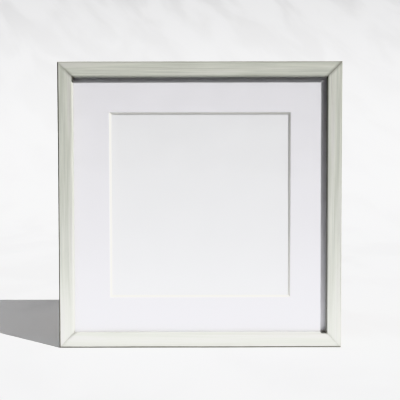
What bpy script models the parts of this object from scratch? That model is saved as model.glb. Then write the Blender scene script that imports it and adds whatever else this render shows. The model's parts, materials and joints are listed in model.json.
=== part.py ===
"""Shadow box: a mitred wooden frame that stands on its bottom rail, with glass, a window mat and a back panel.

Metres, +Z up. The front faces -Y, and the origin is at the bottom, in the middle of the whole object.
Left and right are those of a person facing the front, so left is at -X.
"""

import math

import bmesh
import bpy
from mathutils import Matrix, Vector

# Sheets: the glass, the mat and the insert are cut to one size.
SHEET_WIDTH = 0.2794
SHEET_HEIGHT = 0.2824
GLASS_THICKNESS = 0.0020
MAT_THICKNESS = 0.0022
INSERT_THICKNESS = 0.0010
WINDOW_WIDTH = 0.1924
WINDOW_HEIGHT = 0.1970

# Moulding: an L section, whose lip holds the sheets from the front.
FACE_WIDTH = 0.0166
LIP_OVERLAP = 0.00635
LIP_THICKNESS = 0.0038
MOULDING_DEPTH = 0.0381
SHEET_SLACK = 0.0008
OUTER_ROUND = 0.0018
INNER_ROUND = 0.0024
ARRIS = 0.0004

# Back: spacer strips keep the panel away from the insert, and buttons turn over the panel's edge.
PANEL_THICKNESS = 0.0030
PANEL_SLACK = 0.0005
SPACER_WIDTH = 0.0050
BUTTON_THICKNESS = 0.0010
BUTTON_REACH = 0.0170
BUTTON_PIVOT_RADIUS = 0.0040
BUTTON_TIP_RADIUS = 0.0032
BUTTON_PAIR_SPREAD = 0.150
BUTTON_PAIR_SPREAD_SIDE = 0.100

# Screws: pan heads with a cross recess.
SHANK_RADIUS = 0.00135
SHANK_LENGTH = 0.0110
SHANK_TAPER = 0.0035
HEAD_RADIUS = 0.0030
HEAD_HEIGHT = 0.0017
HEAD_EDGE = 0.0007
RECESS_ARM = 0.0017
RECESS_WIDTH = 0.0006
RECESS_DEPTH = 0.0009
HEAD_GAP = 0.0001
RUNNING_GAP = 0.00015

# Hangers: a folded steel strap with an eye, and a D-shaped wire ring that swings in the eye.
STRAP_STEEL = 0.0006
STRAP_WIDTH = 0.0066
EYE_BORE = 0.0015
EYE_HEIGHT = 0.2450
HANGER_SCREW_DROP = 0.0125
STRAP_TAIL = 0.0042
RING_WIRE = 0.0007
RING_HALF_WIDTH = 0.0043
RING_LEG = 0.0031
HANGER_INSET = 0.0051

# Corner nails: bent steel strips driven across each mitre from behind, two deep.
NAIL_STEEL = 0.0005
NAIL_LEG = 0.0042
NAIL_LENGTH = 0.0090
NAIL_HALF_ANGLE = math.radians(60)
NAIL_SUNK = 0.0004
NAIL_SIDE_GAP = 0.00015

GAP = 0.0003
MITRE_GAP = 0.0001
OVERSHOOT = 0.0010
WELD = 0.000001
ROUND_STEPS = 20
ARC_STEPS = 5

# What follows from the sizes above.
SIGHT_WIDTH = SHEET_WIDTH - 2 * LIP_OVERLAP
SIGHT_HEIGHT = SHEET_HEIGHT - 2 * LIP_OVERLAP
OUTER_WIDTH = SIGHT_WIDTH + 2 * FACE_WIDTH
OUTER_HEIGHT = SIGHT_HEIGHT + 2 * FACE_WIDTH
RIM_WIDTH = FACE_WIDTH - LIP_OVERLAP - SHEET_SLACK
EYE_RADIUS = EYE_BORE + STRAP_STEEL
TOTAL_DEPTH = MOULDING_DEPTH + GAP + 2 * EYE_RADIUS
FRONT_Y = -TOTAL_DEPTH / 2
RIM_Y = FRONT_Y + MOULDING_DEPTH
MIDDLE_Z = OUTER_HEIGHT / 2

OUTWARD = Vector((0, 1, 0))
INWARD = {
    "top": Vector((0, 0, -1)),
    "bottom": Vector((0, 0, 1)),
    "left": Vector((1, 0, 0)),
    "right": Vector((-1, 0, 0)),
}


def clear_scene():
    for obj in list(bpy.data.objects):
        bpy.data.objects.remove(obj, do_unlink=True)


def new_collection(name, hidden=False):
    collection = bpy.data.collections.new(name)
    collection.hide_render = hidden
    bpy.context.scene.collection.children.link(collection)
    return collection


def material(name, colour, roughness, metallic=0.0, alpha=1.0):
    made = bpy.data.materials.new(name)
    made.use_nodes = True
    shader = made.node_tree.nodes["Principled BSDF"]
    shader.inputs["Base Color"].default_value = (*colour, 1.0)
    shader.inputs["Roughness"].default_value = roughness
    shader.inputs["Metallic"].default_value = metallic
    shader.inputs["Alpha"].default_value = alpha
    return made


def axes(x, z, place):
    """The matrix whose local X and Z run along the given directions, at the given place."""
    turned = Matrix((x, z.cross(x), z)).transposed().to_4x4()
    return Matrix.Translation(place) @ turned


def add(name, mesh, matrix, finish, collection):
    obj = bpy.data.objects.new(name, mesh)
    obj.matrix_world = matrix
    collection.objects.link(obj)
    if finish:
        mesh.materials.append(finish)
    return obj


def arc(centre, radius, start, end, steps):
    """Points along a circle's arc, in degrees, both ends included."""
    turns = [math.radians(start + (end - start) * i / steps) for i in range(steps + 1)]
    return [(centre[0] + radius * math.cos(t), centre[1] + radius * math.sin(t)) for t in turns]


def circle(centre, radius, steps=ROUND_STEPS):
    return arc(centre, radius, 0, 360, steps)[:-1]


def spline_of(curve, points, cyclic=True):
    spline = curve.splines.new("POLY")
    spline.points.add(len(points) - 1)
    for target, point in zip(spline.points, points):
        target.co = (*point, 1.0) if len(point) == 3 else (*point, 0.0, 1.0)
    spline.use_cyclic_u = cyclic


def mesh_of_curve(name, curve):
    """The curve's mesh, with its caps welded to its sides and its faces pointing out."""
    holder = bpy.data.objects.new(name, curve)
    bpy.context.scene.collection.objects.link(holder)
    bpy.context.view_layer.update()
    mesh = bpy.data.meshes.new_from_object(holder.evaluated_get(bpy.context.evaluated_depsgraph_get()))
    bpy.data.objects.remove(holder)
    mesh.name = name
    bm = bmesh.new()
    bm.from_mesh(mesh)
    bmesh.ops.remove_doubles(bm, verts=bm.verts, dist=WELD)
    bmesh.ops.recalc_face_normals(bm, faces=bm.faces)
    bm.to_mesh(mesh)
    bm.free()
    mesh.materials.clear()
    return mesh


def plate(name, outlines, thickness):
    """A flat outline, with any holes as further outlines, thickened equally to both sides of local Z = 0."""
    curve = bpy.data.curves.new(name, "CURVE")
    curve.dimensions = "2D"
    curve.fill_mode = "BOTH"
    curve.extrude = thickness / 2
    for points in outlines:
        spline_of(curve, points)
    return mesh_of_curve(name, curve)


def box(name, size, centre, finish, collection):
    bm = bmesh.new()
    bmesh.ops.create_cube(bm, size=1.0, matrix=Matrix.Diagonal((*size, 1.0)))
    mesh = bpy.data.meshes.new(name)
    bm.to_mesh(mesh)
    bm.free()
    return add(name, mesh, Matrix.Translation(centre), finish, collection)


def cutter_rod(name, radius, length, matrix, collection):
    """A round cutter that is centred on its matrix and runs along local Z."""
    bm = bmesh.new()
    bmesh.ops.create_cone(
        bm, cap_ends=True, segments=ROUND_STEPS, radius1=radius, radius2=radius, depth=length
    )
    mesh = bpy.data.meshes.new(name)
    bm.to_mesh(mesh)
    bm.free()
    return as_cutter(add(name, mesh, matrix, None, collection))


def as_cutter(obj):
    obj.hide_render = True
    obj.display_type = "WIRE"
    return obj


def cut(target, cutter):
    modifier = target.modifiers.new(cutter.name, "BOOLEAN")
    modifier.operation = "DIFFERENCE"
    modifier.object = cutter
    modifier.solver = "EXACT"


def smooth(mesh, angle=40):
    mesh.shade_smooth()
    mesh.set_sharp_from_angle(angle=math.radians(angle))


def moulding_outline():
    """The rail's section: X from the outer side inwards, Y from the front face back."""
    back = MOULDING_DEPTH
    outline = arc((OUTER_ROUND, OUTER_ROUND), OUTER_ROUND, 180, 270, ARC_STEPS)
    outline += arc((FACE_WIDTH - INNER_ROUND, INNER_ROUND), INNER_ROUND, 270, 360, ARC_STEPS)
    outline += [(FACE_WIDTH, LIP_THICKNESS), (RIM_WIDTH, LIP_THICKNESS)]
    outline += [(RIM_WIDTH, back - ARRIS), (RIM_WIDTH - ARRIS, back)]
    outline += [(ARRIS, back), (0.0, back - ARRIS)]
    return outline


def mitre(mesh, length):
    """Cuts both ends of a section at 45 degrees, so that the outer side keeps the whole length."""
    bm = bmesh.new()
    bm.from_mesh(mesh)
    for end in (1, -1):
        cut_edges = bmesh.ops.bisect_plane(
            bm,
            geom=[*bm.verts, *bm.edges, *bm.faces],
            plane_co=(0, 0, end * (length / 2 - MITRE_GAP)),
            plane_no=(1, 0, end),
            clear_outer=True,
        )["geom_cut"]
        edges = [e for e in cut_edges if isinstance(e, bmesh.types.BMEdge)]
        bmesh.ops.contextual_create(bm, geom=edges)
    bmesh.ops.recalc_face_normals(bm, faces=bm.faces)
    bm.to_mesh(mesh)
    bm.free()


def half_size(side):
    """How far the side's outer edge is from the middle of the frame."""
    return OUTER_WIDTH / 2 if side in ("left", "right") else OUTER_HEIGHT / 2


def outer_edge(side, y):
    """The middle of a side's outer edge, at the given depth."""
    return Vector((0, y, MIDDLE_Z)) - INWARD[side] * half_size(side)


def along(side):
    """The direction along a side, towards the right or the top."""
    return Vector((0, 0, 1)) if side in ("left", "right") else Vector((1, 0, 0))


def rail(side, finish, collection):
    length = OUTER_HEIGHT if side in ("left", "right") else OUTER_WIDTH
    mesh = plate("rail_" + side, [moulding_outline()], length)
    mitre(mesh, length)
    smooth(mesh, 30)
    inward = INWARD[side]
    return add(mesh.name, mesh, axes(inward, inward.cross(OUTWARD), outer_edge(side, FRONT_Y)), finish, collection)


def nail_outline(steel, leg):
    """A V whose bottom is at the origin and whose legs lie to both sides of local X."""
    half = steel / 2
    tip = half / math.sin(NAIL_HALF_ANGLE)
    legs = []
    for turn in (NAIL_HALF_ANGLE, -NAIL_HALF_ANGLE):
        run = Vector((math.cos(turn), math.sin(turn)))
        side = Vector((-run.y, run.x)) * math.copysign(half, turn)
        legs.append((leg * run + side, leg * run - side))
    (first_out, first_in), (second_out, second_in) = legs
    return [(-tip, 0.0), tuple(second_out), tuple(second_in), (tip, 0.0), tuple(first_in), tuple(first_out)]


def corner_nails(rails, finish, parts, cutters):
    """Two nails one behind the other across each mitre, in a slot that is cut from both rails."""
    first = RIM_Y - NAIL_SUNK - NAIL_LENGTH / 2
    second = first - NAIL_LENGTH - GAP
    slot_front = second - NAIL_LENGTH / 2 - GAP
    slot_back = RIM_Y + OVERSHOOT
    slot = plate(
        "nail_slot",
        [nail_outline(NAIL_STEEL + 2 * NAIL_SIDE_GAP, NAIL_LEG + NAIL_SIDE_GAP)],
        slot_back - slot_front,
    )
    nail = plate("v_nail", [nail_outline(NAIL_STEEL, NAIL_LEG)], NAIL_LENGTH)
    for level in ("top", "bottom"):
        for hand in ("left", "right"):
            corner = f"{level}_{hand}"
            inward = INWARD[level] + INWARD[hand]
            rim = outer_edge(level, 0) - INWARD[hand] * OUTER_WIDTH / 2 + inward * RIM_WIDTH / 2
            diagonal = inward.normalized()
            place = axes(diagonal, OUTWARD, rim + OUTWARD * (slot_front + slot_back) / 2)
            cutter = as_cutter(add("slot_" + corner, slot, place, None, cutters))
            for side in (level, hand):
                cut(rails[side], cutter)
            for label, y in (("rear", first), ("deep", second)):
                place = axes(diagonal, OUTWARD, rim + OUTWARD * y)
                add(f"v_nail_{corner}_{label}", nail, place, None, parts)
    nail.materials.append(finish)


def sheet(name, thickness, front, finish, collection):
    return box(
        name,
        (SHEET_WIDTH, thickness, SHEET_HEIGHT),
        (0, front + thickness / 2, MIDDLE_Z),
        finish,
        collection,
    )


def window_cutter(front, collection):
    """A tapered block that leaves 45 degree bevels facing the front."""
    reach = MAT_THICKNESS / 2 + OVERSHOOT
    bm = bmesh.new()
    bmesh.ops.create_cube(bm, size=2.0)
    for vertex in bm.verts:
        taper = MAT_THICKNESS / 2 + vertex.co.y * reach
        vertex.co.x *= WINDOW_WIDTH / 2 - taper
        vertex.co.z *= WINDOW_HEIGHT / 2 - taper
        vertex.co.y *= reach
    mesh = bpy.data.meshes.new("mat_window")
    bm.to_mesh(mesh)
    bm.free()
    middle = Matrix.Translation((0, front + MAT_THICKNESS / 2, MIDDLE_Z))
    return as_cutter(add("mat_window", mesh, middle, None, collection))


def spacers(front, back, finish, collection):
    """Four strips along the rabbet's walls. The upright ones stand between the level ones."""
    middle_y = (front + back) / 2
    depth = back - front
    for side in ("top", "bottom", "left", "right"):
        upright = side in ("left", "right")
        half_sheet = (SHEET_WIDTH if upright else SHEET_HEIGHT) / 2
        centre = Vector((0, middle_y, MIDDLE_Z)) - INWARD[side] * (half_sheet - SPACER_WIDTH / 2)
        if upright:
            size = (SPACER_WIDTH, depth, SHEET_HEIGHT - 2 * SPACER_WIDTH - 2 * GAP)
        else:
            size = (SHEET_WIDTH, depth, SPACER_WIDTH)
        box("spacer_" + side, size, centre, finish, collection)


def screw_mesh():
    """A pan-head screw. Local Z runs out of the head, and Z = 0 is the head's underside."""
    rise = HEAD_HEIGHT - HEAD_EDGE
    dome = [
        (HEAD_RADIUS * math.cos(t), HEAD_EDGE + rise * math.sin(t))
        for t in (math.radians(90 * i / ARC_STEPS) for i in range(ARC_STEPS, -1, -1))
    ]
    dome[0] = (0.0, HEAD_HEIGHT)
    outline = dome + [
        (HEAD_RADIUS, 0.0),
        (SHANK_RADIUS, 0.0),
        (SHANK_RADIUS, SHANK_TAPER - SHANK_LENGTH),
        (0.0, -SHANK_LENGTH),
    ]
    mesh = bpy.data.meshes.new("screw_profile")
    bm = bmesh.new()
    points = [bm.verts.new((x, 0, z)) for x, z in outline]
    for first, second in zip(points, points[1:]):
        bm.edges.new((first, second))
    bm.to_mesh(mesh)
    bm.free()
    return mesh


def recess_outline():
    """A cross with four equal arms."""
    half = RECESS_WIDTH / 2
    arm = [(RECESS_ARM, -half), (RECESS_ARM, half), (half, half)]
    turns = [Matrix.Rotation(math.radians(90 * i), 2) for i in range(4)]
    return [tuple(turn @ Vector(point)) for turn in turns for point in arm]


def screw(name, profile, seat, finish, parts, cutters, wood):
    """A screw whose head sits at the seat, with its clearance hole in the rail."""
    place = axes(along("top"), OUTWARD, seat)
    obj = add(name, profile.copy(), place, finish, parts)
    turn = obj.modifiers.new("turn", "SCREW")
    turn.axis = "Z"
    turn.steps = ROUND_STEPS
    turn.render_steps = ROUND_STEPS
    turn.use_merge_vertices = True
    turn.merge_threshold = WELD
    recess = plate("recess_" + name, [recess_outline()], 2 * RECESS_DEPTH)
    top = place @ Matrix.Translation((0, 0, HEAD_HEIGHT))
    cut(obj, as_cutter(add(recess.name, recess, top, None, cutters)))
    deepest = seat - OUTWARD * (SHANK_LENGTH + GAP)
    mouth = Vector((seat.x, RIM_Y + OVERSHOOT, seat.z))
    hole = cutter_rod(
        "hole_" + name,
        SHANK_RADIUS + RUNNING_GAP,
        (mouth - deepest).length,
        axes(along("top"), OUTWARD, (deepest + mouth) / 2),
        cutters,
    )
    cut(wood, hole)


def button_outline():
    """A tapered bar with round ends: the pivot's end at the origin, the tip along local X."""
    lean = math.degrees(math.asin((BUTTON_PIVOT_RADIUS - BUTTON_TIP_RADIUS) / BUTTON_REACH))
    steps = ROUND_STEPS // 2
    outline = arc((0, 0), BUTTON_PIVOT_RADIUS, 90 - lean, 270 + lean, steps)
    outline += arc((BUTTON_REACH, 0), BUTTON_TIP_RADIUS, lean - 90, 90 - lean, steps)
    return outline


def turn_buttons(rails, profile, finish, parts, cutters):
    """Two buttons on each side, each with its own screw, lying on the rim and over the panel."""
    hole = circle((0, 0), SHANK_RADIUS + RUNNING_GAP)
    mesh = plate("turn_button", [button_outline(), hole], BUTTON_THICKNESS)
    mesh.materials.append(finish)
    smooth(mesh)
    labels = {"top": ("left", "right"), "bottom": ("left", "right")}
    labels |= {"left": ("lower", "upper"), "right": ("lower", "upper")}
    for side, ends in labels.items():
        spread = BUTTON_PAIR_SPREAD_SIDE if side in ("left", "right") else BUTTON_PAIR_SPREAD
        for end, way in zip(ends, (-1, 1)):
            pivot = outer_edge(side, RIM_Y) + INWARD[side] * RIM_WIDTH / 2 + along(side) * way * spread / 2
            middle = pivot + OUTWARD * (GAP + BUTTON_THICKNESS / 2)
            add(f"turn_button_{side}_{end}", mesh, axes(INWARD[side], OUTWARD, middle), None, parts)
            seat = pivot + OUTWARD * (GAP + BUTTON_THICKNESS + HEAD_GAP)
            screw(f"button_screw_{side}_{end}", profile, seat, finish, parts, cutters, rails[side])


def strap_outline():
    """The folded strap from the side: local X down from the eye's centre, local Y out from the rim."""
    tail = HANGER_SCREW_DROP + STRAP_TAIL
    low = -EYE_RADIUS
    high = low + 2 * STRAP_STEEL
    meet = math.degrees(math.asin(high / EYE_RADIUS))
    outline = [(tail, low), (tail, high)]
    outline += arc((0, 0), EYE_RADIUS, meet, 270, ROUND_STEPS)
    return outline


def hangers(rails, profile, steel, parts, cutters):
    """A strap, a ring and a screw on each side rail. The ring hangs down from the eye."""
    down = Vector((0, 0, -1))
    for hand in ("left", "right"):
        eye = outer_edge(hand, RIM_Y + GAP + EYE_RADIUS) + INWARD[hand] * HANGER_INSET
        eye.z = EYE_HEIGHT
        section = plate("hanger_strap_" + hand, [strap_outline(), circle((0, 0), EYE_BORE)], STRAP_WIDTH)
        smooth(section)
        strap = add(section.name, section, axes(down, down.cross(OUTWARD), eye), steel, parts)
        flat = EYE_RADIUS - 2 * STRAP_STEEL
        seat = eye + down * HANGER_SCREW_DROP - OUTWARD * (flat - HEAD_GAP)
        hole = cutter_rod(
            "strap_hole_" + hand,
            SHANK_RADIUS + RUNNING_GAP,
            4 * EYE_RADIUS,
            axes(along("top"), OUTWARD, seat),
            cutters,
        )
        cut(strap, hole)
        screw("hanger_screw_" + hand, profile, seat, steel, parts, cutters, rails[hand])
        ring(hand, eye, steel, parts)


def ring(hand, eye, finish, collection):
    """A D-shaped loop of wire, whose straight bar is at the origin, along local X."""
    curve = bpy.data.curves.new("hanger_ring_" + hand, "CURVE")
    curve.dimensions = "3D"
    curve.bevel_depth = RING_WIRE
    curve.bevel_resolution = 2
    bend = arc((0, 0), RING_HALF_WIDTH, 0, -180, 2 * ARC_STEPS)
    loop = [(x, 0.0, z - RING_LEG) for x, z in bend]
    corner = RING_HALF_WIDTH / 4
    left = arc((-RING_HALF_WIDTH + corner, -corner), corner, 180, 90, ARC_STEPS - 2)
    right = arc((RING_HALF_WIDTH - corner, -corner), corner, 90, 0, ARC_STEPS - 2)
    loop += [(x, 0.0, z) for x, z in left + right]
    spline_of(curve, loop)
    mesh = mesh_of_curve("hanger_ring_" + hand, curve)
    smooth(mesh)
    add(mesh.name, mesh, Matrix.Translation(eye), finish, collection)


def main():
    clear_scene()
    parts = new_collection("shadow_box")
    cutters = new_collection("cutters", hidden=True)
    painted = material("whitewashed_wood", (0.56, 0.57, 0.50), 0.55)
    glazing = material("clear_glass", (0.95, 0.97, 0.96), 0.03, alpha=0.2)
    matting = material("mat_paper", (0.80, 0.79, 0.82), 0.9)
    card = material("insert_card", (0.84, 0.84, 0.85), 0.8)
    foam = material("spacer_board", (0.85, 0.85, 0.83), 0.8)
    board = material("fibreboard", (0.33, 0.22, 0.13), 0.75)
    steel = material("zinc_steel", (0.62, 0.62, 0.60), 0.35, metallic=1.0)

    rails = {side: rail(side, painted, parts) for side in INWARD}
    corner_nails(rails, steel, parts, cutters)

    glass_front = FRONT_Y + LIP_THICKNESS + GAP
    sheet("glass_pane", GLASS_THICKNESS, glass_front, glazing, parts)
    mat_front = glass_front + GLASS_THICKNESS + GAP
    mat = sheet("mat_board", MAT_THICKNESS, mat_front, matting, parts)
    cut(mat, window_cutter(mat_front, cutters))
    insert_front = mat_front + MAT_THICKNESS + GAP
    sheet("insert_sheet", INSERT_THICKNESS, insert_front, card, parts)

    panel_back = RIM_Y - GAP
    panel_front = panel_back - PANEL_THICKNESS
    spacers(insert_front + INSERT_THICKNESS + GAP, panel_front - GAP, foam, parts)
    box(
        "back_panel",
        (
            OUTER_WIDTH - 2 * RIM_WIDTH - 2 * PANEL_SLACK,
            PANEL_THICKNESS,
            OUTER_HEIGHT - 2 * RIM_WIDTH - 2 * PANEL_SLACK,
        ),
        (0, (panel_front + panel_back) / 2, MIDDLE_Z),
        board,
        parts,
    )

    profile = screw_mesh()
    turn_buttons(rails, profile, steel, parts, cutters)
    hangers(rails, profile, steel, parts, cutters)


main()
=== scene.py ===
"""Looks for the shadow box: fine rails, sheets and hardware, their materials, and a pale studio.

Metres, +Z up, with the front facing -Y. Places and outer sizes are read from the CAD's nodes. Sizes that
a box doesn't give, such as a round or a wire's thickness, are set below.
"""

import json
import math

import bmesh
import bpy
from mathutils import Matrix, Vector, noise

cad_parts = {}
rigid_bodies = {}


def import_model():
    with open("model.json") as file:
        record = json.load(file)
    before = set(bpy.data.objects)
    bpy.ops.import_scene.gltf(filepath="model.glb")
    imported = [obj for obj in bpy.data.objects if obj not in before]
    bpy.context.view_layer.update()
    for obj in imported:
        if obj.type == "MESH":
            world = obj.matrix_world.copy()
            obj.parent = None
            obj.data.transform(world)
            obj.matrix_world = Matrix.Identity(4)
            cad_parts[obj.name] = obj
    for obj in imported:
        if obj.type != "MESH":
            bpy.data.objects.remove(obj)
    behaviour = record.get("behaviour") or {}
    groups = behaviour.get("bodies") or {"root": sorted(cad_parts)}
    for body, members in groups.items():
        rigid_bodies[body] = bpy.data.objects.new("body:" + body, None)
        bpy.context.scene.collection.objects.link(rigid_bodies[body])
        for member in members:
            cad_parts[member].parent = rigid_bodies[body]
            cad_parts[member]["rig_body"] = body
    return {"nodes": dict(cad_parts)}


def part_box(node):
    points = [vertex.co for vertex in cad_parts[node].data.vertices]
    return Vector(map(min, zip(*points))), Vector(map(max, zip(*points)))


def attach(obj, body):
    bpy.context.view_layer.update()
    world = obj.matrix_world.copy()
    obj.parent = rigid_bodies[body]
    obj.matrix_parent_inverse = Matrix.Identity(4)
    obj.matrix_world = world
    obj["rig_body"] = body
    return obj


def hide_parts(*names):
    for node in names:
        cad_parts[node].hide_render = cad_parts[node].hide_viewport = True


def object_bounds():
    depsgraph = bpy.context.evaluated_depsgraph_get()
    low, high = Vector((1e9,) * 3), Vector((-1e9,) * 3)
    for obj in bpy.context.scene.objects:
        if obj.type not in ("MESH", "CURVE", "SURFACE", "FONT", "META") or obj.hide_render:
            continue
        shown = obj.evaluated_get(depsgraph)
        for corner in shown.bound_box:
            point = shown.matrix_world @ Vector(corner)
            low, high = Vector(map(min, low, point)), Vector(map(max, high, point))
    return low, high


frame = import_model()
cad_low, cad_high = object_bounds()

SIDES = ("top", "bottom", "left", "right")
INWARD = {
    "top": Vector((0, 0, -1)),
    "bottom": Vector((0, 0, 1)),
    "left": Vector((1, 0, 0)),
    "right": Vector((-1, 0, 0)),
}
BACKWARD = Vector((0, 1, 0))
UP = Vector((0, 0, 1))
SIDEWAYS = Vector((1, 0, 0))

FRONT_Y = cad_low.y
WIDTH = cad_high.x - cad_low.x
HEIGHT = cad_high.z - cad_low.z
MIDDLE_Z = HEIGHT / 2
MM = 0.001

# The moulding, as in the CAD.
OUTER_ROUND = 1.8 * MM
INNER_ROUND = 2.4 * MM
ARRIS = 0.4 * MM
GAP = 0.3 * MM
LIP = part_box("glass_pane")[0].y - GAP - FRONT_Y
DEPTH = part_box("rail_left")[1].y - FRONT_Y
RIM_Y = FRONT_Y + DEPTH
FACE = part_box("rail_left")[1].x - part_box("rail_left")[0].x
LIP_OVERLAP = 6.35 * MM
SHEET_SLACK = 0.8 * MM
RIM = FACE - LIP_OVERLAP - SHEET_SLACK

# What the looks add to it: steps round each curve, small chamfers, and dirt where a mitre stands open.
ROUND_STEPS = 8
ARRIS_STEPS = 3
RAIL_STEP = 4 * MM
FLAT_MARGIN = 0.5 * MM
LIP_CHAMFER = 0.15 * MM
REBATE_CHAMFER = 0.3 * MM
JOINT_CHAMFER = 0.12 * MM
JOINT_DIRT = 0.5 * MM
FULL_DIRT_GAP = 0.11 * MM
DIRT_POWER = 1.6

# The hand-worn unevenness of the rails: how deep it goes, and how quickly it changes along and across them.
# It dies away over the last 1 / WEAR_FADE of the length at each end, so that the mitres meet.
EDGE_WEAR = 0.09 * MM
EDGE_WEAR_ALONG = 45
EDGE_WEAR_ACROSS = 90
RIPPLE = 0.012 * MM
RIPPLE_ALONG = 160
RIPPLE_ACROSS = 400
WEAR_FADE = 60
EDGE_REACH = 1.9 * MM
EDGE_FADE = 1.2 * MM

# Narrower than the mat's border, so that it tells the window's edge from the outer one.
MAT_BORDER = 10 * MM

# How far each mitre stands open at its outer and inner ends.
MITRES = {
    "top_left": (0.02 * MM, 0.14 * MM),
    "top_right": (0.10 * MM, 0.12 * MM),
    "bottom_left": (0.02 * MM, 0.10 * MM),
    "bottom_right": (0.03 * MM, 0.07 * MM),
}

# The panel's fine squares, and the ring-shaped marks that the buttons leave on it.
BACK_SQUARE = 3 * MM
RUB_RADIUS = 15.5 * MM
RUB_WIDTH = 6 * MM

# How far each rail's outer arris is darkened (partly wear, partly painted shade on the shaded left and bottom
# rails), its inner crest is darkened, and its lip's edge carries painted shade.
WEAR_AND_PAINTED_SHADE = {
    "top": (0.55, 0.0, 0.0),
    "bottom": (1.0, 0.45, 0.0),
    "left": (1.0, 0.08, 0.0),
    "right": (0.35, 0.0, 0.74),
}

# The rail ends whose lip carries a painted shadow in the corner, where the neighbouring rail shades it.
PAINTED_CORNER_SHADOWS = {("left", "top_left"), ("bottom", "bottom_right")}
CORNER_SHADOW_LENGTH = 6.2 * MM

# Screws, buttons and hangers. The thread and the button's edge are added, and the rest is as in the CAD.
SHANK_RADIUS = 1.35 * MM
HEAD_RADIUS = 3.0 * MM
HEAD_HEIGHT = 1.7 * MM
HEAD_EDGE = 0.7 * MM
SHANK_LENGTH = 11.0 * MM
THREAD_PITCH = 1.25 * MM
THREAD_HEIGHT = 0.32 * MM
THREAD_START = -1.6 * MM
THREAD_STEPS = 8
POINT_LENGTH = 3.5 * MM
HOLE_PLAY = 0.15 * MM
BUTTON_REACH = 17.0 * MM
PIVOT_RADIUS = 4.0 * MM
TIP_RADIUS = 3.2 * MM
BUTTON_EDGE = 0.18 * MM
STEEL = 0.6 * MM
STRAP_HALF = 3.3 * MM
EYE_BORE = 1.5 * MM
SCREW_DROP = 12.5 * MM
STRAP_TAIL = 4.2 * MM
RING_WIRE = 0.7 * MM
RING_HALF = 4.3 * MM
RING_LEG = 3.1 * MM

# Camera and light. Lengths are in metres and strengths in the units of each light.
LENS = 76.05
CAMERA_DISTANCE = 0.8904
CAMERA_HEIGHT = 0.1951
CAMERA_PITCH = math.radians(2.435)
CAMERA_ROLL = math.radians(0.1)
SUN_TRAVEL = Vector((-1.04, 1.0, -1.06))
SUN_STRENGTH = 5.08
SUN_ANGLE = math.radians(0.5)
SKY_STRENGTH = 0.36
SKY_LOW = 0.0
SEEN_SKY = 0.98
GLOW_DEPTH = 0.15
GLOW_START = 0.006
GLOW_WIDTH = 0.80
GLOW_POWER = 0.223
NEAR_FLOOR = -0.20
NEAR_HALF = 0.35
FLOOR_BACK = 0.60
FAR = 14.0


# ---------------------------------------------------------------- node graphs

SOCKETS = {
    "colour": "Base Color",
    "roughness": "Roughness",
    "metallic": "Metallic",
    "specular": "Specular IOR Level",
    "alpha": "Alpha",
    "normal": "Normal",
}


class Graph:
    """A material's nodes. Each method returns an output socket, and takes sockets or plain values."""

    def __init__(self, name):
        self.material = bpy.data.materials.new(name)
        self.material.use_nodes = True
        self.tree = self.material.node_tree
        self.shader = self.tree.nodes["Principled BSDF"]

    def put(self, socket, value):
        if isinstance(value, bpy.types.NodeSocket):
            self.tree.links.new(value, socket)
        elif value is not None:
            size = len(socket.default_value) if hasattr(socket.default_value, "__len__") else 0
            if size == 4 and len(value) == 3:
                value = (*value, 1.0)
            socket.default_value = value

    def node(self, kind, *inputs, **settings):
        made = self.tree.nodes.new("ShaderNode" + kind)
        for key, value in settings.items():
            setattr(made, key, value)
        for index, value in enumerate(inputs):
            self.put(made.inputs[index], value)
        return made

    def attribute(self, name, output="Vector"):
        return self.node("Attribute", attribute_name=name).outputs[output]

    def place(self):
        return self.node("TexCoord").outputs["Object"]

    def stretched(self, vector, x, y, z, turn=0.0):
        """The vector in units of the given lengths, so that a noise of scale 1 has grains that long."""
        return self.node("Mapping", vector, None, (0, turn, 0), (x, y, z), vector_type="TEXTURE").outputs[0]

    def noise(self, vector, detail=3.0, rough=0.5, distortion=0.0):
        made = self.node("TexNoise", vector)
        self.put(made.inputs["Scale"], 1.0)
        self.put(made.inputs["Detail"], detail)
        self.put(made.inputs["Roughness"], rough)
        self.put(made.inputs["Distortion"], distortion)
        return made.outputs[0]

    def math(self, operation, first, second=None):
        return self.node("Math", first, second, operation=operation).outputs[0]

    def span(self, value, low, high, to_low=0.0, to_high=1.0):
        """The value carried smoothly from one range to another, held within it."""
        made = self.node("MapRange", value, low, high, to_low, to_high, interpolation_type="SMOOTHSTEP")
        return made.outputs[0]

    def mix(self, share, first, second, blend="MIX"):
        made = self.node("Mix", data_type="RGBA", blend_type=blend)
        self.put(made.inputs["Factor"], share)
        self.put(made.inputs[6], first)
        self.put(made.inputs[7], second)
        return made.outputs[2]

    def bump(self, height, distance, strength):
        made = self.node("Bump")
        self.put(made.inputs["Strength"], strength)
        self.put(made.inputs["Distance"], distance)
        self.put(made.inputs["Height"], height)
        return made.outputs[0]

    def finish(self, **values):
        """Sets the shader's sockets by the short names in SOCKETS, and returns the material."""
        for name, value in values.items():
            self.put(self.shader.inputs[SOCKETS[name]], value)
        return self.material


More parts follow.
